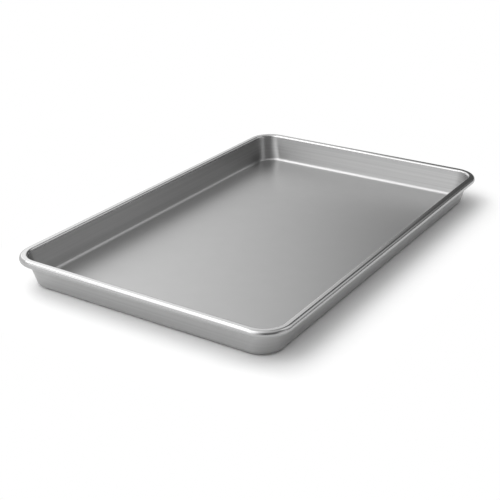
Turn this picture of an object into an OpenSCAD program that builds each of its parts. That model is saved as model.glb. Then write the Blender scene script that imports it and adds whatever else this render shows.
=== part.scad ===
// Jelly roll pan: one drawn sheet-metal tray with drafted walls and a rolled rim,
// and the steel wire that the rim is rolled round.
// Millimetres, +Z up, origin at the middle of the flat underside, X along the pan.

/* [Pan] */
// Overall length, outside the rim
length = 431.8; // [260:0.1:660]
// Overall width, outside the rim
width = 279.4; // [180:0.1:460]
// Overall height, from the underside to the top of the rim
height = 29; // [20:0.1:60]
// Corner radius of the rim's outer edge, seen from above
corner_r = 26.5; // [20:0.1:60]
// Thickness of the sheet
sheet = 0.8; // [0.5:0.05:1.2]

/* [Walls] */
// Outward lean of the walls from upright, in degrees
draft = 9.5; // [2:0.5:25]
// Inside radius where the floor turns up into the walls
floor_r = 3.2; // [1:0.1:8]

/* [Rim] */
// Width of the rim, from its outer edge to the wall's inner face
rim_w = 8.1; // [7.2:0.1:12]
// Radius of the rim's inner shoulder, on the face that shows
shoulder_r = 2.4; // [1.6:0.1:3.5]
// Diameter of the rim wire
wire_d = 4.8; // [3:0.1:5.6]
// Play between the wire and the curl round it
wire_play = 0.05; // [0.02:0.01:0.2]
// Open seam between the sheet's cut edge, under the rim, and the wall
seam_gap = 0.25; // [0.1:0.05:1]
// Gap where the ends of the wire meet, in the middle of a long side
butt_gap = 0.5; // [0.2:0.1:5]

/* [Hidden] */
$fn = 96;

pan_grey = [0.68, 0.68, 0.69];
wire_grey = [0.55, 0.56, 0.58];

// How far each leaning face runs inside the round that it meets, so that the two cross and join
tuck = 0.0003;

// Unit vectors in the wall's section, where x runs outwards from a corner's axis and y runs up.
// The wall's inner face looks along into_pan, and the wall itself runs along down_wall.
into_pan = [-cos(draft), sin(draft)];
down_wall = [-sin(draft), -cos(draft)];

// The curl is concentric with the wire, and its outermost point is the edge of the pan.
curl_r = wire_d / 2 + wire_play + sheet;
curl_c = [corner_r - curl_r, height - curl_r];

// The shoulder turns the level top of the rim down into the wall's inner face.
shoulder_c = [corner_r - rim_w + shoulder_r, height - shoulder_r];
inner_top = shoulder_c + (shoulder_r - tuck) * into_pan;

// The inner face runs down until it is tangent to the floor's inside radius.
foot_z = sheet + floor_r - (floor_r - tuck) * sin(draft);
inner_foot = inner_top + (inner_top[1] - foot_z) / cos(draft) * down_wall;
floor_c = [inner_foot[0] - (floor_r - tuck) * cos(draft), sheet + floor_r];

// The wall's outer face is the inner one moved out by the thickness of the sheet.
outer_top = inner_top - sheet * into_pan;
outer_foot = inner_foot - sheet * into_pan;

// The cut edge of the sheet comes back under the wire and stops short of the wall.
under_z = height - 2 * curl_r;
cut_edge_x = outer_top[0] - (outer_top[1] - under_z - sheet) * tan(draft) + seam_gap;

// Distances from the middle of the pan to the corner axes
axis_x = length / 2 - corner_r;
axis_y = width / 2 - corner_r;

// A disc at a point of the section.
module disc(centre, r) {
    translate(centre) circle(r = r);
}

// The space inside the pan: it ends at the floor, the floor's bend, the wall and the shoulder.
module inside_air() {
    difference() {
        union() {
            polygon([
                [0, sheet], [floor_c[0], sheet], floor_c, inner_foot, inner_top,
                shoulder_c, [shoulder_c[0], height + 1], [0, height + 1]
            ]);
            disc(floor_c, floor_r);
        }
        disc(shoulder_c, shoulder_r);
    }
}

// The space outside the pan and in the rim's hollow, joined by the seam at the cut edge.
module outside_air() {
    difference() {
        polygon([
            [floor_c[0], -1], [floor_c[0], 0], floor_c, outer_foot, outer_top,
            shoulder_c, [shoulder_c[0], height - sheet], [curl_c[0], height - sheet],
            [curl_c[0], under_z + sheet], [cut_edge_x, under_z + sheet],
            [cut_edge_x, under_z], [corner_r + 1, under_z], [corner_r + 1, -1]
        ]);
        disc(floor_c, floor_r + sheet);
    }
    disc(shoulder_c, shoulder_r - sheet);
    disc(curl_c, curl_r - sheet);
}

// Section of the sheet from a corner's axis outwards: floor, floor bend, wall, shoulder,
// level top of the rim, half turn round the wire, and the cut edge tucked under.
module section() {
    difference() {
        union() {
            square([curl_c[0], height]);
            disc(curl_c, curl_r);
        }
        inside_air();
        outside_air();
    }
}

// One straight side: the section carried along Y, facing +X.
module straight_side(run) {
    translate([0, run / 2, 0]) rotate([90, 0, 0]) linear_extrude(height = run) section();
}

// The four sides and the four corners meet on the corner axes, round a flat floor.
module pan_shell() {
    color(pan_grey) union() {
        translate([-axis_x, -axis_y, 0]) cube([2 * axis_x, 2 * axis_y, sheet]);
        for (turn = [0, 180]) rotate([0, 0, turn]) {
            translate([axis_x, 0, 0]) straight_side(2 * axis_y);
            rotate([0, 0, 90]) translate([axis_y, 0, 0]) straight_side(2 * axis_x);
            translate([axis_x, axis_y, 0]) rotate_extrude(angle = 90) section();
            translate([-axis_x, axis_y, 0]) rotate([0, 0, 90]) rotate_extrude(angle = 90) section();
        }
    }
}

// A straight length of rim wire along X, centred on x and y.
module rod(x, y, run) {
    translate([x - run / 2, y, curl_c[1]]) rotate([0, 90, 0]) cylinder(h = run, d = wire_d);
}

// A quarter turn of rim wire round a corner's axis.
module wire_corner(x, y, turn) {
    translate([x, y, curl_c[1]]) rotate([0, 0, turn])
        rotate_extrude(angle = 90) translate([curl_c[0], 0]) circle(d = wire_d);
}

// The wire runs once round the pan inside the curl, and its ends butt on the +Y side.
module rim_wire() {
    line_x = axis_x + curl_c[0];
    line_y = axis_y + curl_c[0];
    half_run = axis_x - butt_gap / 2;
    color(wire_grey) union() {
        rod(0, -line_y, 2 * axis_x);
        for (side = [-1, 1]) {
            rod(side * (butt_gap + half_run) / 2, line_y, half_run);
            rotate([0, 0, 90]) rod(0, side * line_x, 2 * axis_y);
        }
        wire_corner(axis_x, axis_y, 0);
        wire_corner(-axis_x, axis_y, 90);
        wire_corner(-axis_x, -axis_y, 180);
        wire_corner(axis_x, -axis_y, 270);
    }
}

pan_shell();
rim_wire();
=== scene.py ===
"""Jelly roll pan: the drawn sheet with its rolled rim, the wire in the rim, and a plain studio.

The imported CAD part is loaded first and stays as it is. Every piece is made in metres in the part's own
frame: X along the pan, Y across it, Z up, with the origin in the middle of the flat underside.
"""
import math

import bpy
import numpy as np
from mathutils import Matrix, Vector


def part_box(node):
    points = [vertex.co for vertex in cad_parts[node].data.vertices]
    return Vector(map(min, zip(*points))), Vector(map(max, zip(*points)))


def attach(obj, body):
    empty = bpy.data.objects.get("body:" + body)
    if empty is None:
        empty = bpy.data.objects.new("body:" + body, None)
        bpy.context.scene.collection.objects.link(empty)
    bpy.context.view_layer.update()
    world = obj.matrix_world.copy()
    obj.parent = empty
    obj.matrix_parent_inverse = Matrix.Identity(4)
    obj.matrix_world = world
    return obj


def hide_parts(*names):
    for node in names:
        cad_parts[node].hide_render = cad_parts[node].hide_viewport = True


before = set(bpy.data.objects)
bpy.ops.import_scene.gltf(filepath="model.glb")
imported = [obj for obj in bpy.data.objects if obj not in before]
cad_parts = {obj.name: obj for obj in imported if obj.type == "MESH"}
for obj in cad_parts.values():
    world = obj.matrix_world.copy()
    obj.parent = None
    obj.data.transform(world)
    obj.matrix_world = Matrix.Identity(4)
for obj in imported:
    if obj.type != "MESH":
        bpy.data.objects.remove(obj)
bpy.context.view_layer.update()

SHEET_LOW, SHEET_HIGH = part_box("pan_shell")
WIRE_LOW, WIRE_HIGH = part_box("rim_wire")

bl_info = {
    "name": "Jelly roll pan",
    "version": (1, 0, 0),
    "blender": (4, 5, 0),
    "location": "3D View > Sidebar > Jelly roll pan",
    "description": "A drawn sheet-metal pan with drafted walls and a rim rolled over a wire",
    "category": "Object",
}

MM = 0.001


def linear(hex_colour):
    """The linear red, green, blue and alpha of an sRGB colour written as six hex digits."""
    srgb = np.array([int(hex_colour[i:i + 2], 16) for i in (0, 2, 4)]) / 255
    low, high = srgb / 12.92, ((srgb + 0.055) / 1.055) ** 2.4
    return (*np.where(srgb <= 0.04045, low, high).tolist(), 1.0)


WHITE = linear("FFFFFF")


# Sizes and finishes that a user may change

def length_value(name, description, default, low, high):
    """A size in metres that shows in the scene's own unit of length."""
    return bpy.props.FloatProperty(name=name, description=description, default=default, min=low, max=high,
                                   precision=5, subtype="DISTANCE", unit="LENGTH")


def share_value(name, description, default):
    """A value from 0 to 1."""
    return bpy.props.FloatProperty(name=name, description=description, default=default, min=0, max=1,
                                   subtype="FACTOR")


def colour_value(name, description, hex_colour):
    """A colour, written in sRGB and kept in linear light."""
    return bpy.props.FloatVectorProperty(name=name, description=description,
                                         default=linear(hex_colour)[:3], min=0, max=1, subtype="COLOR")


class PanSizes(bpy.types.PropertyGroup):
    """The sizes of the sheet and its rim."""

    length: length_value("Length", "Overall length, outside the rim",
                         SHEET_HIGH.x - SHEET_LOW.x, 260 * MM, 660 * MM)
    width: length_value("Width", "Overall width, outside the rim",
                        SHEET_HIGH.y - SHEET_LOW.y, 180 * MM, 460 * MM)
    height: length_value("Height", "From the underside to the top of the rim",
                         SHEET_HIGH.z - SHEET_LOW.z, 20 * MM, 60 * MM)
    corner_radius: length_value("Corner radius", "Radius of the rim's outer edge at a corner, from above",
                                26.5 * MM, 20 * MM, 60 * MM)
    corner_spread: length_value("Corner spread", "How much rounder a corner is at the floor than at the rim",
                                6 * MM, 0, 12 * MM)
    sheet: length_value("Sheet", "Thickness of the sheet", 0.8 * MM, 0.5 * MM, 1.2 * MM)
    draft: bpy.props.FloatProperty(name="Draft", description="Outward lean of the walls from upright",
                                   default=math.radians(9.5), min=math.radians(2), max=math.radians(25),
                                   subtype="ANGLE", unit="ROTATION")
    floor_radius: length_value("Floor radius", "Inside radius where the floor turns up into the walls",
                               3.2 * MM, 1 * MM, 8 * MM)
    rim_width: length_value("Rim width", "From the rim's outer edge to the wall's inner face",
                            8.1 * MM, 7.2 * MM, 12 * MM)
    shoulder_radius: length_value("Shoulder radius", "Radius of the rim's inner shoulder",
                                  2.4 * MM, 1.6 * MM, 3.5 * MM)
    wire: length_value("Wire", "Diameter of the rim wire", WIRE_HIGH.z - WIRE_LOW.z, 3 * MM, 5.6 * MM)
    wire_play: length_value("Wire play", "Play between the wire and the curl round it",
                            0.05 * MM, 0.02 * MM, 0.2 * MM)
    seam_gap: length_value("Seam gap", "Open seam between the cut edge and the wall",
                           0.25 * MM, 0.1 * MM, 1 * MM)


class PanFinish(bpy.types.PropertyGroup):
    """The colours and the gloss of the metals."""

    steel: colour_value("Sheet", "Colour of the aluminised sheet", "ABABAB")
    wire: colour_value("Wire", "Colour of the drawn steel wire", "A9ABAE")
    floor_roughness: share_value("Floor roughness", "Gloss of the rolled floor, 0 is a mirror", 0.36)
    wall_roughness: share_value("Wall roughness", "Gloss of the drawn walls, 0 is a mirror", 0.36)
    rim_roughness: share_value("Rim roughness", "Gloss of the rolled rim, 0 is a mirror", 0.15)
    brushing: share_value("Brushing", "How far the drawing lines stretch a highlight", 0.9)


# The section of the sheet, and the way that it is carried round the pan

# Where a straight run has its points, as shares of the way. They lie close together beside a bend, so that
# the smooth shading of the bend ends there.
WALL_STOPS = (0, 0.008, 0.03, 0.12, 0.5, 0.88, 0.97, 0.992, 1)
RIM_STOPS = (0, 0.06, 0.5, 0.94, 1)
CUT_EDGE_STOPS = (0, 0.12, 0.88, 1)
SIDE_STOPS = np.array([0.004, 0.02, 0.1, 0.2, 0.3, 0.4, 0.5, 0.6, 0.7, 0.8, 0.9, 0.98, 0.996])

# The rings of the floor, and of the underside, as shares of the way out from the middle
FLAT_STOPS = np.array([0.06, 0.2, 0.4, 0.6, 0.8, 0.94, 0.985])

CORNER_COLUMNS = 28


def straight(start, end, stops):
    """Points of the section from start to end, at the given shares of the way."""
    t = np.asarray(stops, float)[:, None]
    return np.asarray(start, float) * (1 - t) + np.asarray(end, float) * t


def bend(centre, radius, start, end, points):
    """Points of the section on an arc: centre + radius (cos a, sin a), where a runs evenly from start to end.

    Both angles are in degrees.
    """
    a = np.radians(np.linspace(start, end, points))
    return np.asarray(centre, float) + radius * np.stack([np.cos(a), np.sin(a)], 1)


def sheet_section(size):
    """The closed section of the sheet as (x, z), x counted outwards from a corner's axis.

    It runs over the floor's bend, up the wall's inner face, over the shoulder and the level top of the rim,
    half round the wire, under it to the cut edge, and back by the sheet's other face.
    Returns the points, the height of the centre of the floor's bend, and the places in the list of the
    outside wall's top, its foot and the end of the bend under it.
    """
    r, t, lean = size.corner_radius, size.sheet, math.degrees(size.draft)
    into_pan = np.array([-math.cos(size.draft), math.sin(size.draft)])
    curl = size.wire / 2 + size.wire_play + t
    curl_c = np.array([r - curl, size.height - curl])
    shoulder = size.shoulder_radius
    shoulder_c = np.array([r - size.rim_width + shoulder, size.height - shoulder])
    inner_top = shoulder_c + shoulder * into_pan
    foot_z = t + size.floor_radius * (1 - math.sin(size.draft))
    inner_foot = np.array([inner_top[0] - (inner_top[1] - foot_z) * math.tan(size.draft), foot_z])
    floor_c = inner_foot + size.floor_radius * into_pan
    outer_top, outer_foot = inner_top - t * into_pan, inner_foot - t * into_pan
    under = size.height - 2 * curl
    edge_x = outer_top[0] - (outer_top[1] - under - t) * math.tan(size.draft) + size.seam_gap
    runs = [
        bend(floor_c, size.floor_radius, -90, -lean, points=17),
        straight(inner_foot, inner_top, WALL_STOPS),
        bend(shoulder_c, shoulder, 180 - lean, 90, points=17),
        straight((shoulder_c[0], size.height), (curl_c[0], size.height), RIM_STOPS),
        bend(curl_c, curl, 90, -90, points=41),
        straight((curl_c[0], under), (edge_x, under), RIM_STOPS),
        straight((edge_x, under), (edge_x, under + t), CUT_EDGE_STOPS),
        straight((edge_x, under + t), (curl_c[0], under + t), RIM_STOPS),
        bend(curl_c, curl - t, -90, 90, points=31),
        straight((curl_c[0], size.height - t), (shoulder_c[0], size.height - t), RIM_STOPS),
        bend(shoulder_c, shoulder - t, 90, 180 - lean, points=13),
        straight(outer_top, outer_foot, WALL_STOPS),
        bend(floor_c, size.floor_radius + t, -lean, -90, points=17),
    ]
    section = np.concatenate([run[:-1] for run in runs[:-1]] + [runs[-1]])
    run_ends = np.cumsum([len(run) - 1 for run in runs])
    return section, floor_c[1], run_ends[-3:]


def round_the_pan():
    """The columns of the grid, once round the pan.

    A column is a corner's angle and the place of its axis as two shares of the straight half-runs.
    Along a corner the axis stays and the angle turns; along a straight side the angle stays and the axis
    moves.
    """
    turn = np.radians(np.linspace(0, 90, CORNER_COLUMNS))
    axis = np.array([[1, 1], [-1, 1], [-1, -1], [1, -1], [1, 1]], float)
    columns = []
    for k in range(4):
        corner = np.stack([turn + k * math.pi / 2, *np.repeat(axis[k][:, None], turn.size, 1)])
        run = np.stack([np.full(SIDE_STOPS.size, (k + 1) * math.pi / 2),
                        *(axis[k][:, None] * (1 - SIDE_STOPS) + axis[k + 1][:, None] * SIDE_STOPS)])
        columns += [corner, run]
    return np.concatenate(columns, 1)


def carried_sheet(size):
    """The section carried round a rounded rectangle, as a grid of rings by columns of points.

    For a ring of the section with inset d from the rim's edge, the corner radius is r - d plus the spread,
    which grows evenly from nothing under the rim to its full value at the floor's bend, and the corner's axis
    lies that radius inside both straight sides. A column then gives axis + radius (cos a, sin a). On the
    floor and on the underside the rings shrink towards the middle.
    Returns the grid, and the rings of the outside wall's top, its foot and the end of the bend under it.
    """
    section, bend_z, outside = sheet_section(size)
    inset, z = size.corner_radius - section[:, 0], section[:, 1]
    # The spread starts as far below the top as the rim is wide.
    spread_z = size.height - size.rim_width
    share = np.clip((spread_z - z) / (spread_z - bend_z), 0, 1)
    radius = size.corner_radius - inset + size.corner_spread * share
    rings = np.stack([size.length / 2 - inset - radius, size.width / 2 - inset - radius, radius])
    floor = np.outer(rings[:, 0], FLAT_STOPS)
    underside = np.outer(rings[:, -1], FLAT_STOPS[::-1])
    half_x, half_y, radius = np.concatenate([floor, rings, underside], 1)
    z = np.concatenate([np.full(FLAT_STOPS.size, size.sheet), z, np.zeros(FLAT_STOPS.size)])
    angle, side_x, side_y = round_the_pan()
    x = np.outer(half_x, side_x) + np.outer(radius, np.cos(angle))
    y = np.outer(half_y, side_y) + np.outer(radius, np.sin(angle))
    return np.stack([x, y, np.repeat(z[:, None], angle.size, 1)], 2), outside + FLAT_STOPS.size


def grid_faces(rings, columns):
    """Faces of a grid that closes on itself round the pan, with a vertex more inside its first and last ring.

    The grid's vertices are numbered ring by ring, and the two more come after them. A four-sided face joins
    two rings and two columns. Three-sided faces fan out from each of the two more to the ring round it.
    Returns the four-sided faces, the three-sided ones, and the ring and the column of each four-sided face.
    """
    ring, column = np.indices((rings - 1, columns)).reshape(2, -1)
    after = (column + 1) % columns
    quads = np.stack([ring * columns + column, (ring + 1) * columns + column,
                      (ring + 1) * columns + after, ring * columns + after], 1)
    first = np.arange(columns)
    second = (first + 1) % columns
    last_ring = (rings - 1) * columns
    fans = np.concatenate([
        np.stack([np.full(columns, rings * columns), first, second], 1),
        np.stack([np.full(columns, rings * columns + 1), last_ring + second, last_ring + first], 1),
    ])
    return quads, fans, ring, column


def lengths_along(points):
    """How far each point of a row lies from its first, along the row."""
    return np.concatenate([[0], np.cumsum(np.linalg.norm(np.diff(points, axis=0), axis=1))])


def new_mesh_piece(name, verts, faces):
    """A mesh object at the origin from an array of vertices and a list of faces."""
    mesh = bpy.data.meshes.new(name)
    mesh.from_pydata(verts.tolist(), [], faces)
    mesh.shade_smooth()
    piece = bpy.data.objects.new(name, mesh)
    bpy.context.scene.collection.objects.link(piece)
    return piece


def lay_out(mesh, along, across, ring, column):
    """UV map of the sheet, in metres: u runs round the pan along the rim, v across the section.

    Only the four-sided faces, which come first, are laid out.
    """
    u = np.stack([along[column], along[column], along[column + 1], along[column + 1]], 1)
    v = np.stack([across[ring], across[ring + 1], across[ring + 1], across[ring]], 1)
    uv = np.zeros((len(mesh.loops), 2), np.float32)
    uv[:u.size] = np.stack([u.ravel(), v.ravel()], 1)
    layer = mesh.uv_layers.new(name="Sheet")
    layer.data.foreach_set("uv", uv.ravel())


# Materials

# Cells of each noise to the metre. The grain (2.5 mm) and the drawing lines (2.3 mm apart, about 330 mm long)
# are drawn coarser than the real ones, which are too fine to show in a small picture. The clouds are about
# 17 mm wide, and the patches of wear on the wire about 3 mm. Most of such a noise lies from 0.3 to 0.7, which
# is why the materials map that range.
GRAIN = 400.0
CLOUDS = 60.0
LINES_ACROSS = 430.0
LINES_ALONG = 3.0
WEAR = 350.0

# How far a cloud changes the floor's roughness, and a drawing line that of the walls, either way
CLOUD_ROUGHNESS = 0.015
LINE_ROUGHNESS = 0.04

# The least and the most that a drawing line brightens the drawn sheet, which is lighter than the rolled floor
LINE_TONE = (1.03, 1.23)

# Painted shade on the outside: what is left of its brightness at the foot of its wall, and then at the end of
# the bend under it
FOOT_PAINTED_SHADE = 0.87
BEND_PAINTED_SHADE = 0.6

# Half the height over which the drawn wall's roughness turns to that of the rolled rim
HALF_BLEND = 1.5 * MM

# The roughness of the wire, where it is least and most worn
WIRE_ROUGHNESS = (0.38, 0.5)


def add(tree, kind, links=(), **settings):
    """Adds a node.

    A setting whose name starts with in_ is the value of an input, which the rest of the name or a number
    picks. Any other setting is a property of the node.
    """
    node = tree.nodes.new(kind)
    for key, value in settings.items():
        if key.startswith("in_"):
            name = key[3:]
            node.inputs[int(name) if name.isdigit() else name.replace("_", " ")].default_value = value
        else:
            setattr(node, key, value)
    for socket, source in links:
        tree.links.new(source, node.inputs[socket])
    return node


def empty_material(name):
    """A material with no nodes but its output. Returns it, its node tree and the output's surface."""
    material = bpy.data.materials.new(name)
    material.use_nodes = True
    tree = material.node_tree
    tree.nodes.clear()
    return material, tree, add(tree, "ShaderNodeOutputMaterial").inputs["Surface"]


def satin_rolled_floor(finish):
    """Aluminised steel as it comes off the rolls: neutral grey, satin and even.

    A fine grain softens what it mirrors, and faint clouds change its gloss a little from place to place.
    """
    material, tree, surface = empty_material("aluminised_steel_rolled")
    where = add(tree, "ShaderNodeTexCoord").outputs["Object"]
    grain = add(tree, "ShaderNodeTexNoise", [("Vector", where)],
                in_Scale=GRAIN, in_Detail=3.0, in_Roughness=0.6).outputs["Fac"]
    clouds = add(tree, "ShaderNodeTexNoise", [("Vector", where)],
                 in_Scale=CLOUDS, in_Detail=3.0, in_Roughness=0.6).outputs["Fac"]
    rough = add(tree, "ShaderNodeMapRange", [("Value", clouds)], in_From_Min=0.3, in_From_Max=0.7,
                in_To_Min=finish.floor_roughness - CLOUD_ROUGHNESS,
                in_To_Max=finish.floor_roughness + CLOUD_ROUGHNESS)
    bump = add(tree, "ShaderNodeBump", [("Height", grain)], in_Strength=0.5, in_Distance=0.04 * MM)
    steel = add(tree, "ShaderNodeBsdfPrincipled",
                [("Roughness", rough.outputs[0]), ("Normal", bump.outputs[0])],
                in_Base_Color=(*finish.steel, 1.0), in_Metallic=1.0)
    tree.links.new(steel.outputs[0], surface)
    return material


def drawing_lines(tree, place, across):
    """Long lines round the pan: a noise that is slow along X and Y, and fast across the section."""
    level = add(tree, "ShaderNodeCombineXYZ", [("X", place.outputs["X"]), ("Y", place.outputs["Y"])])
    slow = add(tree, "ShaderNodeVectorMath", [(0, level.outputs[0])], operation="SCALE",
               in_Scale=LINES_ALONG)
    fast = add(tree, "ShaderNodeMath", [(0, across)], operation="MULTIPLY", in_1=LINES_ACROSS)
    lift = add(tree, "ShaderNodeCombineXYZ", [("Z", fast.outputs[0])])
    vector = add(tree, "ShaderNodeVectorMath", [(0, slow.outputs[0]), (1, lift.outputs[0])], operation="ADD")
    lines = add(tree, "ShaderNodeTexNoise", [("Vector", vector.outputs[0])],
                in_Scale=1.0, in_Detail=3.0, in_Roughness=0.6)
    return lines.outputs["Fac"]


def painted_shade_at_foot(tree, across, marks):
    """Share of the metal's brightness, as painted shade: less towards the outside's foot, and least on the
    bend under it, where it meets the table.

    marks are the places across the section of the outside wall's top,
    its foot and the end of the bend.
    """
    top, foot, under = marks
    wall = add(tree, "ShaderNodeMapRange", [("Value", across)],
               in_From_Min=top, in_From_Max=foot, in_To_Min=1.0, in_To_Max=FOOT_PAINTED_SHADE)
    turn = add(tree, "ShaderNodeMapRange", [("Value", across)],
               in_From_Min=foot, in_From_Max=under, in_To_Min=1.0, in_To_Max=BEND_PAINTED_SHADE)
    both = add(tree, "ShaderNodeMath", [(0, wall.outputs[0]), (1, turn.outputs[0])], operation="MULTIPLY")
    return both.outputs[0]


def brushed_drawn_wall(finish, rim_foot, marks):
    """The same sheet where the tool drew it and rolled its rim.

    Fine lines round the pan make it brighter and darker in turn, and stretch a highlight up and down. Shade
    is painted on the outside, darker towards its foot and on the bend under it. Above rim_foot, where the rim
    was rolled, it is more polished and shows sharp bright lines.
    """
    material, tree, surface = empty_material("aluminised_steel_drawn")
    where = add(tree, "ShaderNodeTexCoord").outputs["Object"]
    place = add(tree, "ShaderNodeSeparateXYZ", [("Vector", where)])
    uv = add(tree, "ShaderNodeUVMap", uv_map="Sheet").outputs[0]
    across = add(tree, "ShaderNodeSeparateXYZ", [("Vector", uv)]).outputs["Y"]
    lines = drawing_lines(tree, place, across)
    streak = add(tree, "ShaderNodeMapRange", [("Value", lines)], in_From_Min=0.25, in_From_Max=0.75,
                 in_To_Min=-LINE_ROUGHNESS, in_To_Max=LINE_ROUGHNESS)
    shade = add(tree, "ShaderNodeMapRange", [("Value", lines)], in_From_Min=0.3, in_From_Max=0.7,
                in_To_Min=LINE_TONE[0], in_To_Max=LINE_TONE[1])
    # The lines' own tone, times painted shade that darkens the outside towards its foot and on the bend under
    # it
    lines_and_painted_shade = add(tree, "ShaderNodeMath", [(0, shade.outputs[0]), (1, painted_shade_at_foot(tree, across, marks))],
               operation="MULTIPLY")
    colour = add(tree, "ShaderNodeVectorMath", [("Scale", lines_and_painted_shade.outputs[0])], operation="SCALE",
                 in_0=tuple(finish.steel))
    rolled = add(tree, "ShaderNodeMapRange", [("Value", place.outputs["Z"])],
                 interpolation_type="SMOOTHSTEP",
                 in_From_Min=rim_foot - HALF_BLEND, in_From_Max=rim_foot + HALF_BLEND,
                 in_To_Min=finish.wall_roughness, in_To_Max=finish.rim_roughness)
    rough = add(tree, "ShaderNodeMath", [(0, rolled.outputs[0]), (1, streak.outputs[0])], operation="ADD")
    bump = add(tree, "ShaderNodeBump", [("Height", lines)], in_Strength=0.5, in_Distance=0.1 * MM)
    tangent = add(tree, "ShaderNodeTangent", direction_type="UV_MAP", uv_map="Sheet")
    steel = add(tree, "ShaderNodeBsdfPrincipled",
                [("Base Color", colour.outputs[0]), ("Roughness", rough.outputs[0]),
                 ("Normal", bump.outputs[0]), ("Tangent", tangent.outputs[0])],
                in_Metallic=1.0, in_Anisotropic=finish.brushing, in_Anisotropic_Rotation=0.25)
    tree.links.new(steel.outputs[0], surface)
    return material


def drawn_wire(finish):
    """Mild steel wire as drawn through its die: dull grey, with faint patches of wear."""
    material, tree, surface = empty_material("drawn_steel_wire")
    where = add(tree, "ShaderNodeTexCoord").outputs["Object"]
    wear = add(tree, "ShaderNodeTexNoise", [("Vector", where)], in_Scale=WEAR, in_Detail=3.0).outputs["Fac"]
    rough = add(tree, "ShaderNodeMapRange", [("Value", wear)],
                in_To_Min=WIRE_ROUGHNESS[0], in_To_Max=WIRE_ROUGHNESS[1])
    bump = add(tree, "ShaderNodeBump", [("Height", wear)], in_Strength=0.2, in_Distance=0.05 * MM)
    steel = add(tree, "ShaderNodeBsdfPrincipled",
                [("Roughness", rough.outputs[0]), ("Normal", bump.outputs[0])],
                in_Base_Color=(*finish.wire, 1.0), in_Metallic=1.0)
    tree.links.new(steel.outputs[0], surface)
    return material


# The studio

# How far round the pan the table keeps the shadow, half the table's side, and how far it lies under the pan
SHADOW_REACH = 70 * MM
TABLE_HALF = 15.0
TABLE_DROP = 0.1 * MM

# The lamps: azimuth and elevation in degrees, distance, width and height in metres, and level
SOFTBOXES = {
    "left_softbox": (147, 50, 2.0, 1.2, 1.4, 1.3),
    "back_softbox": (85, 52, 2.0, 1.0, 1.0, 2.0),
}

# The room's own brightness, and its brighter parts: azimuth, elevation, radius and even core in degrees, and
# how much brighter the core is
ROOM_LEVEL = 0.13
ROOM_PATCHES = (
    (118, 30, 72, 44, 0.82),
    (47, 27, 25, 11, 1.2),
    (152, 34, 34, 0, 0.3),
    (182, 20, 32, 0, 0.5),
    (323, 40, 28, 0, 1.0),
    (278, 10, 28, 0, 0.65),
    (0, 90, 50, 15, 0.65),
)

# The elevations, in degrees, between which the metal sees the white of the far table give way to the room
HORIZON = (1, 6)

# The camera, as fitted to the pan's own edges in the photograph: the sensor's width and the focal length in
# millimetres (998 pixels in a picture 500 wide), the point that it looks at, its azimuth, elevation and
# distance from there, its roll, and how far it sees. Angles are in degrees, and the rest in metres.
SENSOR = 36.0
FOCAL_LENGTH = 998 / 500 * SENSOR
CAMERA_AIM = (-0.0355, -0.0019, 0.0)
CAMERA_PLACE = (-147.33, 24.343, 0.9659)
CAMERA_ROLL = -0.262
CAMERA_REACH = 50.0


def camera_and_mirror(tree):
    """Whether a ray comes straight from the camera, and whether by way of metal or glass, each as 0 or 1."""
    ray = add(tree, "ShaderNodeLightPath").outputs
    mirror = add(tree, "ShaderNodeMath", [(0, ray["Is Glossy Ray"]), (1, ray["Is Transmission Ray"])],
                 operation="MAXIMUM")
    return ray["Is Camera Ray"], mirror.outputs[0]


def white_table(half_length, half_width):
    """Matt white paper.

    It is lit by the lamps alone round the pan, where the shadow falls, and shows as pure white further away,
    to the eye and in the metal alike. The distance from the pan's outline is the length of
    (|x| - half length, |y| - half width), with each of the two no less than 0.
    """
    material, tree, surface = empty_material("matt_white_paper")
    paper = add(tree, "ShaderNodeBsdfDiffuse", in_Color=WHITE)
    glow = add(tree, "ShaderNodeEmission", in_Color=WHITE, in_Strength=1.0)
    where = add(tree, "ShaderNodeTexCoord").outputs["Object"]
    folded = add(tree, "ShaderNodeVectorMath", [(0, where)], operation="ABSOLUTE")
    # The third number is above any height of the table, so that height doesn't count.
    past = add(tree, "ShaderNodeVectorMath", [(0, folded.outputs[0])], operation="SUBTRACT",
               in_1=(half_length, half_width, 1.0))
    outside = add(tree, "ShaderNodeVectorMath", [(0, past.outputs[0])], operation="MAXIMUM", in_1=(0, 0, 0))
    away = add(tree, "ShaderNodeVectorMath", [(0, outside.outputs[0])], operation="LENGTH")
    far = add(tree, "ShaderNodeMapRange", [("Value", away.outputs["Value"])],
              interpolation_type="SMOOTHSTEP",
              in_From_Min=0.0, in_From_Max=SHADOW_REACH, in_To_Min=0.0, in_To_Max=1.0)
    camera, mirror = camera_and_mirror(tree)
    seen = add(tree, "ShaderNodeMath", [(0, camera), (1, mirror)], operation="MAXIMUM")
    share = add(tree, "ShaderNodeMath", [(0, seen.outputs[0]), (1, far.outputs[0])], operation="MULTIPLY")
    both = add(tree, "ShaderNodeMixShader",
               [(0, share.outputs[0]), (1, paper.outputs[0]), (2, glow.outputs[0])])
    tree.links.new(both.outputs[0], surface)
    return material


def compass(azimuth, elevation):
    """The unit vector at an azimuth, from +X towards +Y, and an elevation, both in degrees."""
    a, e = math.radians(azimuth), math.radians(elevation)
    return Vector((math.cos(a) * math.cos(e), math.sin(a) * math.cos(e), math.sin(e)))


def aim(obj, at, roll=0.0):
    """Turns a camera or lamp so that it looks at a point, then by roll about its own line of sight."""
    look = (Vector(at) - obj.location).to_track_quat("-Z", "Y")
    obj.rotation_euler = (look.to_matrix() @ Matrix.Rotation(roll, 3, "Z")).to_euler()


def softbox(name, azimuth, elevation, distance, size_x, size_y, level):
    """A rectangular lamp behind a diffuser, facing the pan. A level of 1 makes its face look white."""
    data = bpy.data.lights.new(name, "AREA")
    data.shape = "RECTANGLE"
    data.size, data.size_y = size_x, size_y
    data.energy = level * math.pi * size_x * size_y
    lamp = bpy.data.objects.new(name, data)
    lamp.location = compass(azimuth, elevation) * distance
    lamp.visible_camera = False
    bpy.context.scene.collection.objects.link(lamp)
    aim(lamp, (0, 0, 0))


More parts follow.
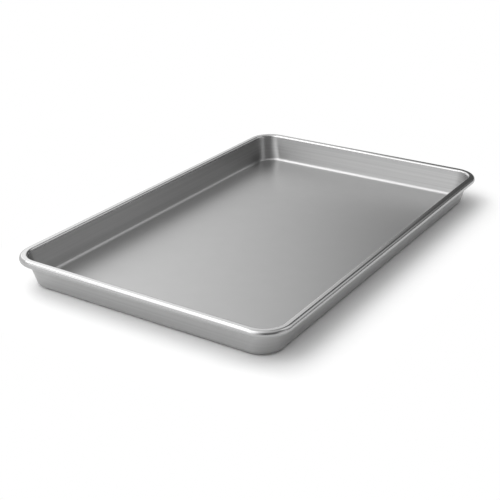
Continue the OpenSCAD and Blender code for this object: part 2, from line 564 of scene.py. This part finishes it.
def soft_patch(tree, way, azimuth, elevation, edge, core, strength):
    """Brightness of one part of the room: none beyond edge degrees from its middle, all of it within core."""
    towards = add(tree, "ShaderNodeVectorMath", [(0, way)], operation="DOT_PRODUCT",
                  in_1=compass(azimuth, elevation))
    level = add(tree, "ShaderNodeMapRange", [("Value", towards.outputs["Value"])],
                interpolation_type="SMOOTHSTEP",
                in_From_Min=math.cos(math.radians(edge)), in_From_Max=math.cos(math.radians(core)),
                in_To_Min=0.0, in_To_Max=strength)
    return level.outputs[0]


def white_beyond_the_table(tree, way, level):
    """The room's brightness, but white wherever the eye sees it, and low over the table in the metal too."""
    height = add(tree, "ShaderNodeSeparateXYZ", [("Vector", way)]).outputs["Z"]
    start, end = (math.sin(math.radians(elevation)) for elevation in HORIZON)
    low = add(tree, "ShaderNodeMapRange", [("Value", height)], interpolation_type="SMOOTHSTEP",
              in_From_Min=start, in_From_Max=end, in_To_Min=1.0, in_To_Max=0.0)
    camera, mirror = camera_and_mirror(tree)
    low_mirror = add(tree, "ShaderNodeMath", [(0, mirror), (1, low.outputs[0])], operation="MULTIPLY")
    seen = add(tree, "ShaderNodeMath", [(0, camera), (1, low_mirror.outputs[0])], operation="MAXIMUM")
    return add(tree, "ShaderNodeMix", [("Factor", seen.outputs[0]), ("A", level)], in_B=1.0).outputs[0]


def soft_room(scene):
    """The world: a plain room whose brightness is the sum of its own level and its brighter parts."""
    world = bpy.data.worlds.new("soft_room")
    scene.world = world
    world.use_nodes = True
    tree = world.node_tree
    tree.nodes.clear()
    out = add(tree, "ShaderNodeOutputWorld")
    way = add(tree, "ShaderNodeTexCoord").outputs["Generated"]
    level = add(tree, "ShaderNodeMath", [(0, soft_patch(tree, way, *ROOM_PATCHES[0]))], operation="ADD",
                in_1=ROOM_LEVEL)
    for patch in ROOM_PATCHES[1:]:
        level = add(tree, "ShaderNodeMath", [(0, level.outputs[0]), (1, soft_patch(tree, way, *patch))],
                    operation="ADD")
    strength = white_beyond_the_table(tree, way, level.outputs[0])
    sky = add(tree, "ShaderNodeBackground", [("Strength", strength)], in_Color=WHITE)
    tree.links.new(sky.outputs[0], out.inputs["Surface"])


def set_camera(scene):
    """The camera at the photograph's viewing angle."""
    azimuth, elevation, distance = CAMERA_PLACE
    data = bpy.data.cameras.new("camera")
    data.sensor_width = SENSOR
    data.lens = FOCAL_LENGTH
    data.clip_end = CAMERA_REACH
    camera = bpy.data.objects.new("camera", data)
    camera.location = Vector(CAMERA_AIM) + compass(azimuth, elevation) * distance
    scene.collection.objects.link(camera)
    aim(camera, CAMERA_AIM, math.radians(CAMERA_ROLL))
    scene.camera = camera


# The operators

class PAN_OT_sheet(bpy.types.Operator):
    """Makes the drawn sheet with its floor, leaning walls and rolled rim."""

    bl_idname = "pan.draw_sheet"
    bl_label = "Drawn sheet"

    def execute(self, context):
        size, finish = context.scene.pan_sizes, context.scene.pan_finish
        grid, outside = carried_sheet(size)
        rings, columns = grid.shape[:2]
        quads, fans, ring, column = grid_faces(rings, columns)
        verts = np.concatenate([grid.reshape(-1, 3), [[0, 0, size.sheet], [0, 0, 0]]])
        piece = new_mesh_piece("pan_sheet", verts, quads.tolist() + fans.tolist())

        # The middle ring lies on the rim's curl, so the map is true to length there.
        rim = grid[rings // 2]
        along = lengths_along(np.append(rim, rim[:1], 0))
        across = lengths_along(grid[:, 0])
        lay_out(piece.data, along, across, ring, column)

        # The floor and the underside are as rolled, and all between them was drawn.
        marks = across[outside].tolist()
        piece.data.materials.append(satin_rolled_floor(finish))
        piece.data.materials.append(brushed_drawn_wall(finish, size.height - size.shoulder_radius, marks))
        flat = FLAT_STOPS.size
        slots = np.zeros(len(quads) + len(fans), np.int32)
        slots[:len(quads)] = (ring >= flat) & (ring < rings - flat - 1)
        piece.data.polygons.foreach_set("material_index", slots)
        piece.data.update()

        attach(piece, "root")
        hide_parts("pan_shell")
        return {"FINISHED"}


class PAN_OT_wire(bpy.types.Operator):
    """Gives the wire inside the rim its own metal. Its shape is the CAD part's."""

    bl_idname = "pan.finish_wire"
    bl_label = "Rim wire"

    def execute(self, context):
        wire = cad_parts["rim_wire"]
        wire.data.materials.clear()
        wire.data.materials.append(drawn_wire(context.scene.pan_finish))
        return {"FINISHED"}


class PAN_OT_studio(bpy.types.Operator):
    """Sets the white table, the soft lights and the camera."""

    bl_idname = "pan.set_studio"
    bl_label = "Studio"

    def execute(self, context):
        scene = context.scene
        size = scene.pan_sizes
        corners = np.array([[-1, -1, 0], [1, -1, 0], [1, 1, 0], [-1, 1, 0]])
        table = new_mesh_piece("table", corners * TABLE_HALF - [0, 0, TABLE_DROP], [[0, 1, 2, 3]])
        table.data.materials.append(white_table(size.length / 2, size.width / 2))
        for name, settings in SOFTBOXES.items():
            softbox(name, *settings)
        soft_room(scene)
        set_camera(scene)
        scene.view_settings.view_transform = "Standard"
        return {"FINISHED"}


class VIEW3D_PT_jelly_roll_pan(bpy.types.Panel):
    """The pan's sizes, finishes and steps."""

    bl_label = "Jelly roll pan"
    bl_space_type = "VIEW_3D"
    bl_region_type = "UI"
    bl_category = "Jelly roll pan"

    def draw(self, context):
        for title, group in (("Sizes", context.scene.pan_sizes), ("Finish", context.scene.pan_finish)):
            column = self.layout.column(heading=title)
            for name in group.__annotations__:
                column.prop(group, name)
        for step in (PAN_OT_sheet, PAN_OT_wire, PAN_OT_studio):
            self.layout.operator(step.bl_idname)


CLASSES = (PanSizes, PanFinish, PAN_OT_sheet, PAN_OT_wire, PAN_OT_studio, VIEW3D_PT_jelly_roll_pan)


def register():
    """Registers the classes, and gives each scene the pan's sizes and finishes."""
    for cls in CLASSES:
        bpy.utils.register_class(cls)
    bpy.types.Scene.pan_sizes = bpy.props.PointerProperty(type=PanSizes)
    bpy.types.Scene.pan_finish = bpy.props.PointerProperty(type=PanFinish)


def unregister():
    """Undoes what register did."""
    del bpy.types.Scene.pan_finish
    del bpy.types.Scene.pan_sizes
    for cls in reversed(CLASSES):
        bpy.utils.unregister_class(cls)


def main():
    """Registers the classes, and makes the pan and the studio."""
    register()
    bpy.ops.pan.draw_sheet()
    bpy.ops.pan.finish_wire()
    bpy.ops.pan.set_studio()


if __name__ == "__main__":
    main()
